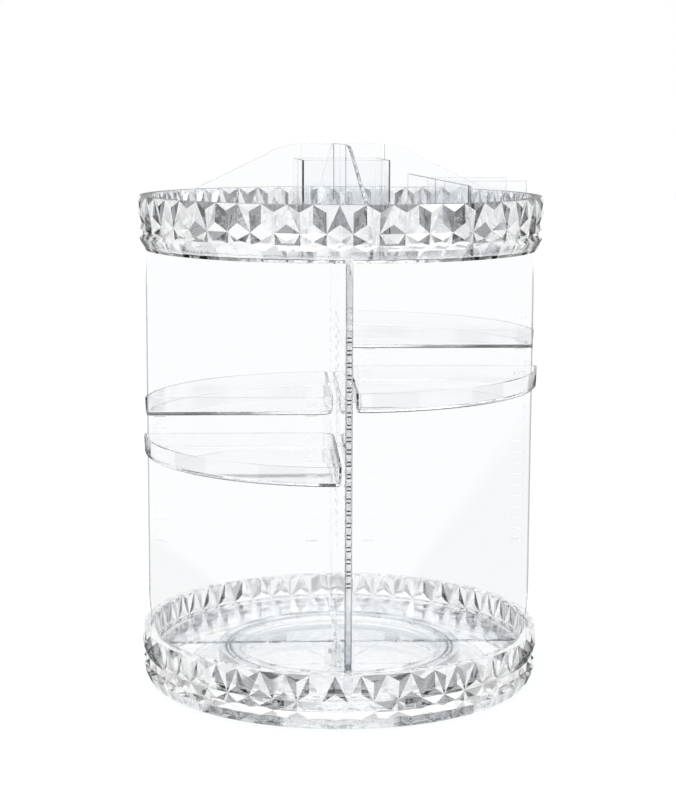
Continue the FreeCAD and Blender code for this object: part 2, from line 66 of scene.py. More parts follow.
Colour = tuple[float, float, float, float]
Triple = tuple[float, float, float]
Solids = dict[str, bpy.types.Object]
MM = 0.001
TOUCH = 1e-6                         # metres; nearer than this is together
FAR_MM = 1000.0                      # past every end of the object
STEEP = 0.9                          # a normal's part along an axis that it looks along
WAVE_PERIOD = 0.3                    # of a wave texture at scale 1, about pi / 10
WHITE: Colour = (1.0, 1.0, 1.0, 1.0)


# ---- nodes and colours --------------------------------------------------------------------------
def linear(code: str) -> Colour:
    """Turn an sRGB hex colour into a linear one.

    Args:
        code: The colour as "#RRGGBB".

    Returns:
        Red, green, blue and alpha, with alpha 1.
    """
    parts = [int(code[start:start + 2], 16) / 255 for start in (1, 3, 5)]
    red, green, blue = (p / 12.92 if p <= 0.04045 else ((p + 0.055) / 1.055) ** 2.4 for p in parts)
    return red, green, blue, 1.0


def add_node(
    tree: bpy.types.NodeTree,
    kind: str,
    settings: dict[str | int, object] | None = None,
    links: dict[str | int, bpy.types.NodeSocket] | None = None,
) -> bpy.types.Node:
    """Add one node with its settings and links.

    Args:
        tree: The node tree it goes into.
        kind: The node's type, without the "ShaderNode" before it.
        settings: Values by the name of a property, or by the name or number of an input.
        links: Output sockets by the name or number of the input that they feed.

    Returns:
        The new node.
    """
    node = tree.nodes.new("ShaderNode" + kind)
    for key, value in (settings or {}).items():
        if isinstance(key, str) and hasattr(node, key):
            setattr(node, key, value)
        else:
            node.inputs[key].default_value = value
    for key, socket in (links or {}).items():
        tree.links.new(socket, node.inputs[key])
    return node


def new_material(name: str) -> tuple[bpy.types.Material, bpy.types.NodeTree]:
    """Make an empty node material.

    Args:
        name: The material's name.

    Returns:
        The material and its node tree.
    """
    material = bpy.data.materials.new(name)
    material.use_nodes = True
    material.node_tree.nodes.clear()
    return material, material.node_tree


# ---- finishes -----------------------------------------------------------------------------------
@dataclass(frozen=True)
class Zones:
    """Marks zones of a moulding's skin by their place, where its finish differs."""

    tree: bpy.types.NodeTree
    place: bpy.types.NodeSocket

    def radius(self) -> bpy.types.NodeSocket:
        """Measure the distance from the main axis.

        Returns:
            A socket with the distance in metres.
        """
        flat = add_node(
            self.tree, "VectorMath", {"operation": "MULTIPLY", 1: (1.0, 1.0, 0.0)}, {0: self.place}
        )
        length = add_node(self.tree, "VectorMath", {"operation": "LENGTH"}, {0: flat.outputs[0]})
        return length.outputs["Value"]

    def height(self) -> bpy.types.NodeSocket:
        """Measure the height above the table."""
        return add_node(self.tree, "SeparateXYZ", {}, {0: self.place}).outputs["Z"]

    def across(self) -> bpy.types.NodeSocket:
        """Measure the distance from the nearer middle plane of the cross of panels.

        Returns:
            A socket with the distance in metres.
        """
        sides = add_node(self.tree, "VectorMath", {"operation": "ABSOLUTE"}, {0: self.place})
        axes = add_node(self.tree, "SeparateXYZ", {}, {0: sides.outputs[0]}).outputs
        nearer = add_node(
            self.tree, "Math", {"operation": "MINIMUM"}, {0: axes["X"], 1: axes["Y"]}
        )
        return nearer.outputs[0]

    def between(
        self, value: bpy.types.NodeSocket, low_mm: float = -FAR_MM, high_mm: float = FAR_MM
    ) -> bpy.types.NodeSocket:
        """Mark where a value lies in a range.

        Args:
            value: What is measured.
            low_mm: The range's lower end; open if left out.
            high_mm: Its upper end; open if left out.

        Returns:
            A socket with 1 in the range and 0 outside it.
        """
        middle, half = (low_mm + high_mm) / 2, (high_mm - low_mm) / 2
        inside = add_node(
            self.tree, "Math", {"operation": "COMPARE", 1: middle * MM, 2: half * MM}, {0: value}
        )
        return inside.outputs[0]

    def overlap(self, *zones: bpy.types.NodeSocket) -> bpy.types.NodeSocket:
        """Mark what lies in every one of some zones.

        Args:
            zones: The zones' sockets.

        Returns:
            A socket with 1 where all of them have 1.
        """
        shared = zones[0]
        for zone in zones[1:]:
            both = add_node(self.tree, "Math", {"operation": "MULTIPLY"}, {0: shared, 1: zone})
            shared = both.outputs[0]
        return shared


@dataclass(frozen=True)
class ClearPolystyrene:
    """General-purpose polystyrene, injection moulded in a polished steel tool.

    It gives the eye a water-clear, hard gloss: strong bends of light at every facet and edge, a
    trace of blue in the thickness, long shallow waves from the melt's flow, and a few dull
    hairlines where bottles have slid.
    """

    name: str
    tint: str = "#FCFDFE"
    ior: float = 1.59
    lamp_pass: str = "#FBFCFD"       # what each skin lets through of a lamp's light
    deepest: int = 60                # light that turned more often than this goes straight on
    wave_mm: float = 24.0
    wave_depth_mm: float = 0.012
    hairline_mm: float = 0.9         # finer in life; as coarse as still shows
    hairline_roughness: float = 0.05
    hairline_noise: tuple[float, float] = (0.66, 0.8)    # where one starts, and where it is full
    hairline_turn: Triple = (0.3, 0.5, 0.7)
    hairline_stretch: Triple = (1.0, 0.03, 0.4)

    def material(self) -> bpy.types.Material:
        """Build the material: glass to the eye, nearly open to lamps.

        Returns:
            The new material.
        """
        material, tree = new_material(self.name)
        place = add_node(tree, "TexCoord").outputs["Object"]
        waves = add_node(
            tree, "TexNoise",
            {"Scale": 1 / (self.wave_mm * MM), "Detail": 1.0, "Roughness": 0.35},
            {"Vector": place},
        )
        bump = add_node(
            tree, "Bump", {"Strength": 1.0, "Distance": self.wave_depth_mm * MM},
            {"Height": waves.outputs["Fac"]},
        )
        slant = add_node(
            tree, "Mapping", {"Rotation": self.hairline_turn, "Scale": self.hairline_stretch},
            {"Vector": place},
        )
        hairlines = add_node(
            tree, "TexNoise",
            {"Scale": 1 / (self.hairline_mm * MM), "Detail": 2.0, "Roughness": 0.6},
            {"Vector": slant.outputs[0]},
        )
        faint, full = self.hairline_noise
        dull = add_node(
            tree, "MapRange",
            {"From Min": faint, "From Max": full, "To Min": 0.0, "To Max": self.hairline_roughness},
            {"Value": hairlines.outputs["Fac"]},
        )
        body = add_node(
            tree, "BsdfPrincipled",
            {"Base Color": linear(self.tint), "Transmission Weight": 1.0, "IOR": self.ior},
            {"Roughness": dull.outputs[0], "Normal": bump.outputs[0]},
        )
        self.trim(Zones(tree, place), body)
        through = add_node(tree, "BsdfTransparent", {"Color": linear(self.lamp_pass)})
        ray = add_node(tree, "LightPath").outputs
        spent = add_node(
            tree, "Math", {"operation": "GREATER_THAN", 1: float(self.deepest)},
            {0: ray["Ray Depth"]},
        )
        matt = add_node(
            tree, "Math", {"operation": "MAXIMUM"}, {0: ray["Is Diffuse Ray"], 1: spent.outputs[0]}
        )
        open_to = add_node(
            tree, "Math", {"operation": "MAXIMUM"}, {0: ray["Is Shadow Ray"], 1: matt.outputs[0]}
        )
        skin = add_node(
            tree, "MixShader", {},
            {0: open_to.outputs[0], 1: body.outputs[0], 2: through.outputs[0]},
        )
        add_node(tree, "OutputMaterial", {}, {"Surface": skin.outputs[0]})
        return material

    def trim(self, zones: Zones, body: bpy.types.Node) -> None:
        """Leave the skin alike all over; a finish that differs in places changes it here."""


@dataclass(frozen=True)
class DiamondCutPolystyrene(ClearPolystyrene):
    """Clear polystyrene from a tool with diamond-cut facets round its rim.

    It gives the eye a rim that sparkles: each facet turns part of the light back inside as a mirror
    does, so that neighbours flip between white and dark, and the bulge below the waist stays pale.
    """

    rim_radius_mm: float = 115.2     # everything beyond it is cut
    waist_mm: float = 0.0            # height of the waist
    turned_back: float = 0.3         # light that a facet turns back inside
    glance: float = 4.0              # coat's IOR, for what it throws back outside
    below_waist: float = 0.25        # what is left of both below it

    def trim(self, zones: Zones, body: bpy.types.Node) -> None:
        """Let the facets of the rim flash.

        Args:
            zones: Places on the piece.
            body: The shader of the plastic.
        """
        tree = zones.tree
        upper = zones.between(zones.height(), low_mm=self.waist_mm)
        row = add_node(tree, "MapRange", {"To Min": self.below_waist}, {"Value": upper})
        cut = zones.between(zones.radius(), low_mm=self.rim_radius_mm)
        flash = zones.overlap(row.outputs[0], cut)
        inside = add_node(tree, "Math", {"operation": "MULTIPLY", 1: self.turned_back}, {0: flash})
        body.inputs["Coat IOR"].default_value = self.glance
        body.inputs["Coat Roughness"].default_value = 0.0
        tree.links.new(flash, body.inputs["Coat Weight"])
        tree.links.new(inside.outputs[0], body.inputs["Metallic"])


@dataclass(frozen=True)
class PanelPolystyrene(ClearPolystyrene):
    """Clear polystyrene plate with rounded outer edges and two rails of notches.

    It gives the eye an almost unseen sheet between two soft grey lines, painted shade on the rounds
    of its outer edge, and a ladder of dark rungs, painted shade on the edge where the notches
    behind show through it.
    """

    edge_radius_mm: float = 115.2    # the outer edge lies beyond it
    clear_half_mm: float = 1.2       # half the clear face between the rounds
    # painted shade: the rounds of the outer edge are coloured grey for the dark that their bends of
    # light show
    round_painted_shade: str = "#B4B8BC"
    # painted shade: dark rungs on the edge's face, standing in for the notches seen through it
    rung_painted_shade: str = "#141618"
    rung_half_mm: float = 0.45       # half a rung's thickness
    edge_roughness: float = 0.09     # added to the polish, along the tool's parting line
    notch_pitch_mm: float = 6.8
    notch_height_mm: float = 2.2
    first_notch_mm: float = 84.3     # height of its middle
    notch_count: int = 21

    def trim(self, zones: Zones, body: bpy.types.Node) -> None:
        """Paint shade on the outer edge: grey over its rounds and dark rungs between them.

        Args:
            zones: Places on the piece.
            body: The shader of the plastic.
        """
        tree = zones.tree
        edge = zones.between(zones.radius(), low_mm=self.edge_radius_mm)
        across = zones.across()
        # the rounds of the outer edge, which get painted grey shade
        rounds = zones.overlap(edge, zones.between(across, low_mm=self.clear_half_mm))
        height = zones.height()
        half_pitch = self.notch_pitch_mm / 2
        wrapped = add_node(
            tree, "Math",
            {
                "operation": "WRAP", 1: (self.first_notch_mm + half_pitch) * MM,
                2: (self.first_notch_mm - half_pitch) * MM,
            },
            {0: height},
        )
        offset = add_node(
            tree, "Math", {"operation": "SUBTRACT", 1: self.first_notch_mm * MM},
            {0: wrapped.outputs[0]},
        )
        away = add_node(tree, "Math", {"operation": "ABSOLUTE"}, {0: offset.outputs[0]})
        ledge = self.notch_height_mm / 2
        last = self.first_notch_mm + (self.notch_count - 1) * self.notch_pitch_mm
        # the rungs of painted shade on the edge's face, one at each notch behind
        rungs = zones.overlap(
            edge,
            zones.between(across, high_mm=self.clear_half_mm),
            zones.between(away.outputs[0], ledge - self.rung_half_mm, ledge + self.rung_half_mm),
            zones.between(height, self.first_notch_mm - half_pitch, last + half_pitch),
        )
        # painted shade: grey over the rounds of the outer edge
        rounded = add_node(
            tree, "Mix", {"data_type": "RGBA", 6: linear(self.tint), 7: linear(self.round_painted_shade)},
            {0: rounds},
        )
        # painted shade: dark rungs over the edge's face where the notches behind show through
        laddered = add_node(
            tree, "Mix", {"data_type": "RGBA", 7: linear(self.rung_painted_shade)},
            {0: rungs, 6: rounded.outputs[2]},
        )
        polish = body.inputs["Roughness"].links[0].from_socket
        roughness = add_node(
            tree, "Math", {"operation": "MULTIPLY_ADD", 1: self.edge_roughness},
            {0: edge, 2: polish},
        )
        tree.links.new(laddered.outputs[2], body.inputs["Base Color"])
        tree.links.new(roughness.outputs[0], body.inputs["Roughness"])


@dataclass(frozen=True)
class SatinPlastic:
    """An unfilled engineering plastic in its natural white, moulded in a lightly eroded tool.

    It gives the eye a milky, waxy white with a soft sheen: some light goes in and comes out beside
    where it went in, and a fine spark-eroded grain breaks the highlight.
    """

    name: str
    colour: str
    shade: str
    roughness: float
    ior: float
    glow_mm: float                   # how far light wanders under the skin
    grain_mm: float = 0.35           # spark-eroded grain, drawn about three times as coarse
    grain_depth_mm: float = 0.02
    grain_spread: float = 0.06       # how much the grain changes the roughness, up and down
    cloud_mm: float = 9.0

    def material(self) -> bpy.types.Material:
        """Build the material: soft body with subsurface light and a fine grain.

        Returns:
            The new material.
        """
        material, tree = new_material(self.name)
        place = add_node(tree, "TexCoord").outputs["Object"]
        cloud = add_node(
            tree, "TexNoise", {"Scale": 1 / (self.cloud_mm * MM), "Detail": 2.0}, {"Vector": place}
        )
        colour = add_node(
            tree, "Mix", {"data_type": "RGBA", 6: linear(self.colour), 7: linear(self.shade)},
            {0: cloud.outputs["Fac"]},
        )
        grain = add_node(
            tree, "TexNoise", {"Scale": 1 / (self.grain_mm * MM), "Detail": 3.0}, {"Vector": place}
        )
        bump = add_node(
            tree, "Bump", {"Strength": 0.35, "Distance": self.grain_depth_mm * MM},
            {"Height": grain.outputs["Fac"]},
        )
        low, high = self.roughness - self.grain_spread, self.roughness + self.grain_spread
        sheen = add_node(
            tree, "MapRange", {"To Min": low, "To Max": high}, {"Value": grain.outputs["Fac"]}
        )
        body = add_node(
            tree, "BsdfPrincipled",
            {
                "IOR": self.ior, "Subsurface Weight": 0.35, "Subsurface Radius": (1.0, 0.95, 0.9),
                "Subsurface Scale": self.glow_mm * MM,
            },
            {
                "Base Color": colour.outputs[2], "Roughness": sheen.outputs[0],
                "Normal": bump.outputs[0],
            },
        )
        add_node(tree, "OutputMaterial", {}, {"Surface": body.outputs[0]})
        return material


@dataclass(frozen=True)
class SoftRubber:
    """Thermoplastic elastomer, moulded soft and see-through grey.

    It gives the eye a dull, slightly milky grip surface with a fine matt bloom in patches.
    """

    name: str = "elastomer moulded matt"
    colour: str = "#C9CCCE"
    bloom: str = "#DDDFE0"
    roughness: float = 0.62
    bloom_roughness: float = 0.85
    bloom_mm: float = 2.2
    bloom_depth_mm: float = 0.03
    glow_mm: float = 1.2             # how far light wanders under the skin

    def material(self) -> bpy.types.Material:
        """Build the material: matt body with a paler bloom in patches.

        Returns:
            The new material.
        """
        material, tree = new_material(self.name)
        place = add_node(tree, "TexCoord").outputs["Object"]
        patches = add_node(
            tree, "TexNoise", {"Scale": 1 / (self.bloom_mm * MM), "Detail": 4.0}, {"Vector": place}
        )
        cover = add_node(
            tree, "MapRange", {"From Min": 0.42, "From Max": 0.7}, {"Value": patches.outputs["Fac"]}
        )
        colour = add_node(
            tree, "Mix", {"data_type": "RGBA", 6: linear(self.colour), 7: linear(self.bloom)},
            {0: cover.outputs[0]},
        )
        dull = add_node(
            tree, "MapRange", {"To Min": self.roughness, "To Max": self.bloom_roughness},
            {"Value": cover.outputs[0]},
        )
        bump = add_node(
            tree, "Bump", {"Strength": 0.3, "Distance": self.bloom_depth_mm * MM},
            {"Height": patches.outputs["Fac"]},
        )
        body = add_node(
            tree, "BsdfPrincipled",
            {
                "IOR": 1.5, "Subsurface Weight": 0.4, "Subsurface Radius": (1.0, 1.0, 1.0),
                "Subsurface Scale": self.glow_mm * MM,
            },
            {
                "Base Color": colour.outputs[2], "Roughness": dull.outputs[0],
                "Normal": bump.outputs[0],
            },
        )
        add_node(tree, "OutputMaterial", {}, {"Surface": body.outputs[0]})
        return material


@dataclass(frozen=True)
class TurnedSteel:
    """Steel that was turned and then plated or polished.

    Zinc plating gives the eye a cool silver with rings from the turning tool under it and a faint
    cloudiness; a bearing ball has neither and is close to a mirror.
    """

    name: str
    colour: str
    roughness: float
    cloud_roughness: float           # how much duller the dullest patches are
    ring_mm: float                   # spacing of the tool's rings
    ring_depth_mm: float
    cloud_mm: float = 1.5

    def material(self) -> bpy.types.Material:
        """Build the material: metal with tool rings and a cloudy skin.

        Returns:
            The new material.
        """
        material, tree = new_material(self.name)
        place = add_node(tree, "TexCoord").outputs["Object"]
        clouds = add_node(
            tree, "TexNoise", {"Scale": 1 / (self.cloud_mm * MM), "Detail": 3.0}, {"Vector": place}
        )
        dull = add_node(
            tree, "MapRange",
            {"To Min": self.roughness, "To Max": self.roughness + self.cloud_roughness},
            {"Value": clouds.outputs["Fac"]},
        )
        rings = add_node(
            tree, "TexWave",
            {
                "wave_type": "RINGS", "rings_direction": "Z",
                "Scale": WAVE_PERIOD / (self.ring_mm * MM), "Distortion": 0.4, "Detail": 1.0,
            },
            {"Vector": place},
        )
        bump = add_node(
            tree, "Bump", {"Strength": 0.5, "Distance": self.ring_depth_mm * MM},
            {"Height": rings.outputs["Fac"]},
        )
        body = add_node(
            tree, "BsdfPrincipled", {"Base Color": linear(self.colour), "Metallic": 1.0},
            {"Roughness": dull.outputs[0], "Normal": bump.outputs[0]},
        )
        add_node(tree, "OutputMaterial", {}, {"Surface": body.outputs[0]})
        return material


class Slot(Enum):
    """Material slots that the new pieces stand for."""

    RUBBER = "pad_rubber"
    SCREW = "screw_steel"


# ---- modelling ----------------------------------------------------------------------------------
class Workpiece:
    """A mesh that is modelled by hand: a primitive, then edit-mode steps."""

    def __init__(self, name: str) -> None:
        """Take the piece that is active, such as a primitive that was just added.

        Args:
            name: The piece's name.
        """
        self.shape = bpy.context.object
        self.shape.name = name
        self.shape.data.name = name

    @classmethod
    def cylinder(cls, name: str, radius: float, low: float, high: float, sides: int) -> Workpiece:
        """Add an upright cylinder on the axis.

        Args:
            name: The piece's name.
            radius: Its radius.
            low: Height of its lower face.
            high: Height of its upper face.
            sides: Number of its side faces.

        Returns:
            The new workpiece.
        """
        bpy.ops.object.select_all(action="DESELECT")
        bpy.ops.mesh.primitive_cylinder_add(
            vertices=sides, radius=radius, depth=high - low, location=(0, 0, (low + high) / 2)
        )
        bpy.ops.object.transform_apply(location=True, rotation=True, scale=True)
        return cls(name)

    @classmethod
    def cube(cls, name: str, low: Triple, high: Triple) -> Workpiece:
        """Add a box between two corners.

        Args:
            name: The piece's name.
            low: Its lowest corner.
            high: Its highest corner.

        Returns:
            The new workpiece.
        """
        bpy.ops.object.select_all(action="DESELECT")
        middle = [(a + b) / 2 for a, b in zip(low, high)]
        bpy.ops.mesh.primitive_cube_add(size=1.0, location=middle)
        bpy.context.object.scale = [b - a for a, b in zip(low, high)]
        bpy.ops.object.transform_apply(location=True, rotation=True, scale=True)
        return cls(name)

    def activate(self) -> None:
        """Select this piece alone and make it the active one."""
        bpy.ops.object.select_all(action="DESELECT")
        self.shape.select_set(True)
        bpy.context.view_layer.objects.active = self.shape

    def edit(self) -> None:
        """Enter edit mode on this piece, selecting by face."""
        self.activate()
        bpy.ops.object.mode_set(mode="EDIT")
        bpy.ops.mesh.select_mode(type="FACE")

    def done(self) -> None:
        """Leave edit mode."""
        bpy.ops.object.mode_set(mode="OBJECT")

    def pick_faces(self, test: Callable[[Vector], bool]) -> None:
        """Select faces by where they look.

        Args:
            test: Says of a face's normal whether the face is picked.
        """
        mesh = bmesh.from_edit_mesh(self.shape.data)
        for face in mesh.faces:
            face.select_set(test(face.normal))
        mesh.select_flush_mode()
        bmesh.update_edit_mesh(self.shape.data)

    def pick_edges(self, test: Callable[[Vector, Vector], bool]) -> None:
        """Select edges by their ends.

        Args:
            test: Says of an edge's two ends whether the edge is picked.
        """
        mesh = bmesh.from_edit_mesh(self.shape.data)
        for edge in mesh.edges:
            edge.select_set(test(edge.verts[0].co, edge.verts[1].co))
        mesh.select_flush_mode()
        bmesh.update_edit_mesh(self.shape.data)

    def extrude(self, rise: float) -> None:
        """Extrude the selected faces along the axis by rise."""
        bpy.ops.mesh.extrude_region_move(TRANSFORM_OT_translate={"value": (0, 0, rise)})

    def widen(self, factor: float) -> None:
        """Scale the selection about the axis."""
        bpy.ops.transform.resize(value=(factor, factor, 1.0), center_override=(0, 0, 0))

    def carve(self, cutter: Workpiece) -> None:
        """Cut another workpiece out of this one and use it up.

        Args:
            cutter: The piece that is cut out.
        """
        self.activate()
        cut = self.shape.modifiers.new("cut", "BOOLEAN")
        cut.operation = "DIFFERENCE"
        cut.solver = "EXACT"
        cut.object = cutter.shape
        bpy.ops.object.modifier_apply(modifier=cut.name)
        bpy.data.objects.remove(cutter.shape)

    def soften(self, width: float, segments: int, angle: float) -> None:
        """Round the sharp edges and shade the whole smooth.

        Args:
            width: Width of the rounds.
            segments: Number of faces across a round.
            angle: Edges that turn by more than this, in degrees, are sharp.
        """
        self.activate()
        edge = self.shape.modifiers.new("edge", "BEVEL")
        edge.width = width
        edge.segments = segments
        edge.limit_method = "ANGLE"
        edge.angle_limit = math.radians(angle)
        bpy.ops.object.modifier_apply(modifier=edge.name)
        bpy.ops.object.shade_smooth_by_angle(angle=math.radians(angle))

    def dress(self, material: bpy.types.Material, slot: Slot, body: str, node: str) -> None:
        """Give the piece its finish and its place in the frame.

        Args:
            material: The finish.
            slot: Not used.
            body: The body that it rides on.
            node: The solid that it replaces.
        """
        self.shape.data.materials.clear()
        self.shape.data.materials.append(material)
        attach(self.shape, body)
        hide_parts(node)
        log.info("modelled %s", self.shape.name)

    def copied(self, name: str, degrees: float) -> Workpiece:
        """Copy the piece, with its own mesh, turned about the axis.

        Args:
            name: The copy's name.
            degrees: Angle that it is turned by.

        Returns:
            The copy.
        """
        twin = self.shape.copy()
        twin.data = self.shape.data.copy()
        twin.data.transform(Matrix.Rotation(math.radians(degrees), 4, "Z"))
        bpy.context.scene.collection.objects.link(twin)
        bpy.ops.object.select_all(action="DESELECT")
        bpy.context.view_layer.objects.active = twin
        return Workpiece(name)


@dataclass(frozen=True)
class EdgeSoftening:
    """Tool radii on a moulding's edges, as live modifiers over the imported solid."""

    width_mm: float                  # narrower wherever a round would run into the next
    segments: int = 2
    flat_degrees: float = 0.6        # triangles that turn by less are one face
    sharp_degrees: float = 14.0      # edges that turn by more are rounded

    def apply_to(self, solid: bpy.types.Object) -> None:
        """Join loose triangles into flat faces, round the edges and even the shading.

        Args:
            solid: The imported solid.
        """
        weld = solid.modifiers.new("join", "WELD")
        weld.merge_threshold = TOUCH
        flat = solid.modifiers.new("flat", "DECIMATE")
        flat.decimate_type = "DISSOLVE"
        flat.angle_limit = math.radians(self.flat_degrees)
        edge = solid.modifiers.new("edge", "BEVEL")
        edge.width = self.width_mm * MM
        edge.segments = self.segments
        edge.limit_method = "ANGLE"
        edge.angle_limit = math.radians(self.sharp_degrees)
        edge.miter_outer = "MITER_SHARP"
        shade = solid.modifiers.new("shade", "WEIGHTED_NORMAL")
        shade.mode = "FACE_AREA"
        shade.weight = 80
        shade.thresh = 0.05


# ---- sub-assemblies -----------------------------------------------------------------------------
@dataclass
class Moulding:
    """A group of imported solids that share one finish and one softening."""

    nodes: tuple[str, ...]
    finish: ClearPolystyrene | SatinPlastic | TurnedSteel
    softening: EdgeSoftening | None = None

    def dress(self, solids: Solids) -> None:
        """Finish the group's solids.

        Args:
            solids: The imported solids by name.
        """
        material = self.finish.material()
        for name in self.nodes:
            for slot in solids[name].material_slots:
                slot.material = material
            if self.softening:
                self.softening.apply_to(solids[name])
            log.info("dressed %s in %s", name, material.name)


@dataclass
class Carousel:
    """The two faceted trays and the cross of panels between them."""

    tray_softening: EdgeSoftening = EdgeSoftening(0.4)
    waist_drop_mm: float = 22.0          # from the top of a rim down to its waist
    tray_flash: tuple[tuple[str, float, float], ...] = (     # tray, turned back, below its waist
        ("bottom_tray", 0.14, 0.6),
        ("top_tray", 0.3, 0.25),
    )
    panel_softening: EdgeSoftening = EdgeSoftening(0.12)

    def dress(self, solids: Solids) -> None:
        """Finish the trays and the panels.

        Args:
            solids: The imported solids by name.
        """
        for name, turned_back, below_waist in self.tray_flash:
            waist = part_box(name)[1].z / MM - self.waist_drop_mm
            finish = DiamondCutPolystyrene(
                f"polystyrene moulded diamond cut, {name.replace('_', ' ')}", wave_depth_mm=0.004,
                waist_mm=waist, turned_back=turned_back, below_waist=below_waist,
            )
            Moulding((name,), finish, self.tray_softening).dress(solids)
        panel = PanelPolystyrene(
            "polystyrene moulded, flat tool", wave_mm=40.0, wave_depth_mm=0.01, deepest=12
        )
        panels = ("panel_right", "panel_rear", "panel_left", "panel_front")
        Moulding(panels, panel, self.panel_softening).dress(solids)


@dataclass
class ShelfTrays:
    """The four quarter-round trays that hook into the panels."""

    softening: EdgeSoftening = EdgeSoftening(0.25)

    def dress(self, solids: Solids) -> None:
        """Finish the four shelves.

        Args:
            solids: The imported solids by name.
        """
        finish = ClearPolystyrene("polystyrene moulded, shelf tool", wave_depth_mm=0.008)
        names = tuple(sorted(name for name in solids if name.startswith("shelf_")))
        Moulding(names, finish, self.softening).dress(solids)


@dataclass
class DividerInsert:
    """The halved plates, the brush collar and the lipstick cells in the top tray."""

    softening: EdgeSoftening = EdgeSoftening(0.25)

    def dress(self, solids: Solids) -> None:
        """Finish the insert's plates.

        Args:
            solids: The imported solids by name.
        """
        finish = ClearPolystyrene("polystyrene moulded, thin plate", wave_mm=30.0)
        kinds = ("divider_", "brush_", "lipstick_")
        names = tuple(sorted(name for name in solids if name.startswith(kinds)))
        Moulding(names, finish, self.softening).dress(solids)


@dataclass
class Turntable:
    """The foot: base plate, ball ring, pivot bush, screw and rubber pads."""

    pad_count: int = 6
    pad_sides: int = 48
    pad_radius: float = 7.0 * MM
    pad_slack: float = 0.15 * MM         # between a pad and its pocket
    pad_rim: float = 1.3 * MM            # width of the ring that a pad stands on
    pad_dish: float = 0.35 * MM          # depth of the dish inside that ring
    pad_round: float = 0.35 * MM
    screw_sides: int = 48
    screw_round: float = 0.06 * MM
    head_radius: float = 4.8 * MM
    head_height: float = 1.7 * MM
    head_round: float = 0.9 * MM
    shank_radius: float = 3.0 * MM
    shank_height: float = 8.8 * MM
    thread_top_radius: float = 2.5 * MM
    thread_root_radius: float = 2.05 * MM
    thread_turns: int = 6
    thread_flank: float = 0.35           # each flank's share of the pitch
    thread_land: float = 0.15            # the crest's and the root's share
    cross_length: float = 5.0 * MM
    cross_width: float = 1.1 * MM
    cross_depth: float = 1.0 * MM

    def dress(self, solids: Solids) -> None:
        """Finish the foot's solids and model its pads and screw.

        Args:
            solids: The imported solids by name.
        """
        base = ClearPolystyrene("polystyrene moulded, foot tool", wave_depth_mm=0.01)
        acetal = SatinPlastic("acetal moulded natural", "#E6E8E9", "#DCDFE1", 0.34, 1.48, 1.6)
        nylon = SatinPlastic("nylon moulded natural", "#ECEBE4", "#E3E1D8", 0.38, 1.53, 2.2)
        zinc = TurnedSteel("steel turned and zinc plated", "#BFC3C6", 0.26, 0.12, 0.12, 0.004)
        chrome = TurnedSteel("bearing steel lapped bright", "#CFD1D4", 0.05, 0.03, 0.5, 0.0002)
        Moulding(("base_plate",), base, EdgeSoftening(0.3)).dress(solids)
        Moulding(("ball_cage",), acetal, EdgeSoftening(0.2)).dress(solids)
        Moulding(("pivot_bush",), nylon).dress(solids)
        Moulding(("pivot_washer",), zinc).dress(solids)
        Moulding(("bearing_balls",), chrome).dress(solids)
        self.build_pads(SoftRubber().material())
        self.build_screw(zinc.material())

    def build_pads(self, rubber: bpy.types.Material) -> None:
        """Model one rubber pad, dished underneath, and copy it round the foot.

        Args:
            rubber: The pads' finish.
        """
        low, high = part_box("foot_pads")
        circle = (high.x - low.x) / 2 - self.pad_radius
        radius = self.pad_radius - self.pad_slack
        first = Workpiece.cylinder("foot_pad_1", radius, low.z, high.z, self.pad_sides)
        first.edit()
        first.pick_faces(lambda normal: normal.z < -STEEP)
        bpy.ops.mesh.inset(thickness=self.pad_rim, depth=0)
        first.extrude(self.pad_dish)
        bpy.ops.mesh.inset(thickness=self.pad_rim, depth=0)
        first.extrude(-self.pad_dish / 2)
        first.done()
        first.soften(self.pad_round, segments=3, angle=40)
        first.shape.data.transform(Matrix.Translation((circle, 0, 0)))
        pads = [first]
        for done in range(1, self.pad_count):
            pads.append(first.copied(f"foot_pad_{done + 1}", done * 360 / self.pad_count))
        for pad in pads:
            pad.dress(rubber, Slot.RUBBER, "foot", "foot_pads")

    def build_screw(self, zinc: bpy.types.Material) -> None:
        """Model the shoulder screw: pan head with a cross recess, shank and thread.

        Args:
            zinc: The screw's finish.
        """
        low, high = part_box("pivot_screw")
        head_top = low.z + self.head_height
        shank_top = head_top + self.shank_height
        screw = Workpiece.cylinder(
            "shoulder_screw", self.head_radius, low.z, head_top, self.screw_sides
        )
        screw.edit()
        screw.pick_faces(lambda normal: normal.z > STEEP)
        bpy.ops.mesh.inset(thickness=self.head_radius - self.shank_radius, depth=0)
        screw.extrude(self.shank_height)
        bpy.ops.mesh.inset(thickness=self.shank_radius - self.thread_root_radius, depth=0)
        self.cut_thread(screw, high.z - shank_top)
        screw.pick_edges(lambda start, end: max(start.z, end.z) < low.z + TOUCH)
        bpy.ops.mesh.bevel(offset=self.head_round, segments=4, profile=0.6)
        screw.done()
        half_length, half_width = self.cross_length / 2, self.cross_width / 2
        floor = low.z + self.cross_depth
        for x, y in ((half_length, half_width), (half_width, half_length)):
            cutter = Workpiece.cube("cross", (-x, -y, low.z - MM), (x, y, floor))
            screw.carve(cutter)
        screw.soften(self.screw_round, segments=2, angle=30)
        screw.dress(zinc, Slot.SCREW, "carousel", "pivot_screw")

    def cut_thread(self, screw: Workpiece, length: float) -> None:
        """Extrude the ridges of the thread from the selected end face.

        Args:
            screw: The piece, in edit mode, with its end face selected.
            length: Length of the thread.
        """
        pitch = length / self.thread_turns
        spread = self.thread_top_radius / self.thread_root_radius
        for _ in range(self.thread_turns):
            for factor in (spread, 1 / spread):
                screw.extrude(pitch * self.thread_flank)
                screw.widen(factor)
                screw.extrude(pitch * self.thread_land)


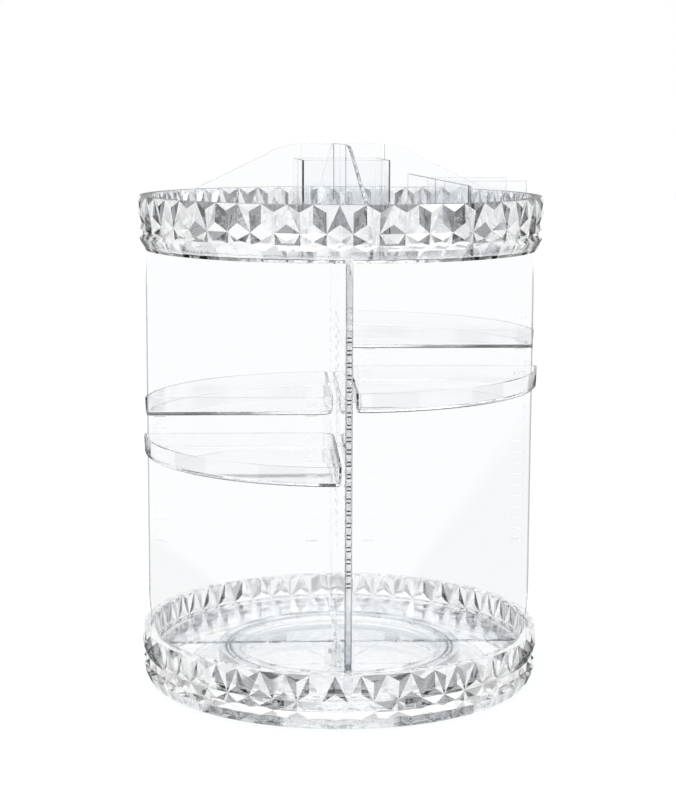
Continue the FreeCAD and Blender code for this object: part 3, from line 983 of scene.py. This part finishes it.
# ---- studio -------------------------------------------------------------------------------------
@dataclass(frozen=True)
class Lamp:
    """A soft distant lamp; its angles are in degrees."""

    name: str
    azimuth: float
    elevation: float
    strength: float
    spread: float

    def build(self) -> None:
        """Add the lamp to the scene."""
        light = bpy.data.lights.new(self.name, "SUN")
        light.energy = self.strength
        light.angle = math.radians(self.spread)
        lamp = bpy.data.objects.new(self.name, light)
        lamp.rotation_euler = (math.radians(90 - self.elevation), 0, math.radians(self.azimuth))
        bpy.context.scene.collection.objects.link(lamp)


@dataclass(frozen=True)
class Viewpoint:
    """The camera: its stand in metres, its turns in radians, its lens in pixels of the frame."""

    distance: float = 1.1346421237680397
    height: float = 0.3456369868685051
    azimuth: float = 0.04282831969738704
    tip: float = 0.1502858261523331
    roll: float = 0.0037420341875106762
    focal: float = 1904.1243102836884
    centre: tuple[float, float] = (340.0776835579486, 393.2944955010311)
    frame: tuple[int, int] = (676, 800)
    film: float = 36.0                   # millimetres along the frame's longer side
    near: float = 0.01
    far: float = 50.0

    def build(self) -> None:
        """Add the camera and make it the scene's."""
        lens = bpy.data.cameras.new("camera")
        width, height = self.frame
        lens.sensor_width = self.film
        lens.sensor_fit = "AUTO"
        lens.lens = self.focal * self.film / height
        lens.shift_x = (width / 2 - self.centre[0]) / height
        lens.shift_y = (self.centre[1] - height / 2) / height
        lens.clip_start = self.near
        lens.clip_end = self.far
        camera = bpy.data.objects.new("camera", lens)
        bpy.context.scene.collection.objects.link(camera)
        right, back = math.sin(self.azimuth), math.cos(self.azimuth)
        stand = (-self.distance * right, -self.distance * back, self.height)
        camera.matrix_world = (
            Matrix.Translation(stand)
            @ Matrix.Rotation(-self.azimuth, 4, "Z")
            @ Matrix.Rotation(math.pi / 2 - self.tip, 4, "X")
            @ Matrix.Rotation(self.roll, 4, "Z")
        )
        bpy.context.scene.camera = camera


@dataclass(frozen=True)
class Studio:
    """A white sweep under soft lamps, with dark flags round it that draw clear parts' edges."""

    floor_radius: float = 6.0
    floor_sides: int = 96
    floor_drop: float = 0.2 * MM
    floor_colour: str = "#FBFBFB"
    floor_lift: float = 0.07             # brings lit paper up to the white round it
    ambient: float = 0.52
    lamps: tuple[Lamp, ...] = (
        Lamp("key_lamp", -35, 60, 1.3, 55),
        Lamp("fill_lamp", 60, 45, 0.65, 60),
    )
    flag_count: int = 6                  # dark flags round the set, with white gaps between them
    flag_phase: float = 4.969            # puts a gap in line with the camera
    flag_level: float = 0.05
    flag_edge: tuple[float, float] = (-0.3, -0.1)        # of a sine, from a flag to a gap
    flag_foot: tuple[float, float] = (0.04, 0.08)        # sine of the elevation where gaps start
    sky: tuple[tuple[float, float], ...] = (             # sine of the elevation, level
        (0.0, 1.0), (0.012, 1.0), (0.05, 0.12), (0.3, 0.03), (0.62, 0.03), (0.74, 0.9), (1.0, 0.9),
    )

    def build(self) -> None:
        """Set up the view, the sweep, the surroundings, the lamps and the camera."""
        scene = bpy.context.scene
        scene.view_settings.view_transform = "Standard"
        scene.cycles.max_bounces = 40
        scene.cycles.transmission_bounces = 36
        scene.cycles.glossy_bounces = 12
        scene.cycles.transparent_max_bounces = 48
        self.build_floor()
        self.build_surroundings()
        for lamp in self.lamps:
            lamp.build()
        Viewpoint().build()
        log.info("set up the studio")

    def build_floor(self) -> None:
        """Lay the paper sweep: shaded under the object, white through it, flagged in a gloss."""
        bpy.ops.object.select_all(action="DESELECT")
        bpy.ops.mesh.primitive_circle_add(
            vertices=self.floor_sides, radius=self.floor_radius, fill_type="NGON",
            location=(0, 0, -self.floor_drop),
        )
        bpy.ops.object.transform_apply(location=True)
        floor = bpy.context.object
        floor.name = "paper_sweep"
        material, tree = new_material("paper sweep, matt")
        paper = add_node(tree, "BsdfDiffuse", {"Color": linear(self.floor_colour)})
        ray = add_node(tree, "LightPath").outputs
        lift = add_node(
            tree, "Math", {"operation": "MULTIPLY", 1: self.floor_lift}, {0: ray["Is Camera Ray"]}
        )
        glow = add_node(tree, "Emission", {}, {"Strength": lift.outputs[0]})
        lit = add_node(tree, "AddShader", {}, {0: paper.outputs[0], 1: glow.outputs[0]})
        white = add_node(tree, "Emission", {"Strength": 1.0})
        place = add_node(tree, "TexCoord").outputs["Object"]
        level = add_node(
            tree, "MapRange", {"To Min": self.flag_level, "To Max": 1.0},
            {"Value": self.gaps(tree, place)},
        )
        flagged = add_node(tree, "Emission", {}, {"Strength": level.outputs[0]})
        mirrored = add_node(
            tree, "MixShader", {},
            {0: ray["Is Glossy Ray"], 1: lit.outputs[0], 2: flagged.outputs[0]},
        )
        mix = add_node(
            tree, "MixShader", {},
            {0: ray["Is Transmission Ray"], 1: mirrored.outputs[0], 2: white.outputs[0]},
        )
        add_node(tree, "OutputMaterial", {}, {"Surface": mix.outputs[0]})
        floor.data.materials.append(material)

    def gaps(self, tree: bpy.types.NodeTree, place: bpy.types.NodeSocket) -> bpy.types.NodeSocket:
        """Draw the ring of flags.

        Args:
            tree: The node tree it goes into.
            place: A place or direction from the middle of the set.

        Returns:
            A socket with 1 in a white gap and 0 on a flag.
        """
        axes = add_node(tree, "SeparateXYZ", {}, {0: place}).outputs
        bearing = add_node(tree, "Math", {"operation": "ARCTAN2"}, {0: axes[1], 1: axes[0]})
        turns = add_node(
            tree, "Math",
            {"operation": "MULTIPLY_ADD", 1: float(self.flag_count), 2: self.flag_phase},
            {0: bearing.outputs[0]},
        )
        wave = add_node(tree, "Math", {"operation": "SINE"}, {0: turns.outputs[0]})
        flag, gap = self.flag_edge
        open_part = add_node(
            tree, "MapRange", {"From Min": flag, "From Max": gap}, {"Value": wave.outputs[0]}
        )
        return open_part.outputs[0]

    def build_surroundings(self) -> None:
        """Wrap the set: white to the camera, even to matt skins, flags to clear ones and metal."""
        world = bpy.data.worlds.new("studio")
        world.use_nodes = True
        tree = world.node_tree
        tree.nodes.clear()
        bpy.context.scene.world = world
        direction = add_node(tree, "TexCoord").outputs["Generated"]
        axes = add_node(tree, "SeparateXYZ", {}, {0: direction}).outputs
        sky = add_node(tree, "ValToRGB", {}, {0: axes[2]})
        stops = sky.color_ramp.elements
        while len(stops) < len(self.sky):
            stops.new(0.5)
        for stop, (height, level) in zip(stops, self.sky):
            stop.position = height
            stop.color = (level, level, level, 1.0)
        foot, full = self.flag_foot
        above = add_node(tree, "MapRange", {"From Min": foot, "From Max": full}, {"Value": axes[2]})
        share = add_node(
            tree, "Math", {"operation": "MULTIPLY"},
            {0: self.gaps(tree, direction), 1: above.outputs[0]},
        )
        flags = add_node(
            tree, "Mix", {"data_type": "RGBA", 7: WHITE}, {0: share.outputs[0], 6: sky.outputs[0]}
        )
        seen = add_node(tree, "Background", {}, {"Color": flags.outputs[2]})
        even = add_node(tree, "Background", {"Color": WHITE, "Strength": self.ambient})
        white = add_node(tree, "Background", {"Color": WHITE, "Strength": 1.0})
        ray = add_node(tree, "LightPath").outputs
        lit = add_node(
            tree, "MixShader", {},
            {0: ray["Is Diffuse Ray"], 1: seen.outputs[0], 2: even.outputs[0]},
        )
        shown = add_node(
            tree, "MixShader", {},
            {0: ray["Is Camera Ray"], 1: lit.outputs[0], 2: white.outputs[0]},
        )
        add_node(tree, "OutputWorld", {}, {"Surface": shown.outputs[0]})


def main() -> None:
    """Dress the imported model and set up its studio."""
    logging.basicConfig(level=logging.INFO, format="%(name)s: %(message)s")
    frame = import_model()
    solids = frame["nodes"]
    Studio().build()
    Carousel().dress(solids)
    ShelfTrays().dress(solids)
    DividerInsert().dress(solids)
    Turntable().dress(solids)


if __name__ == "__main__":
    main()
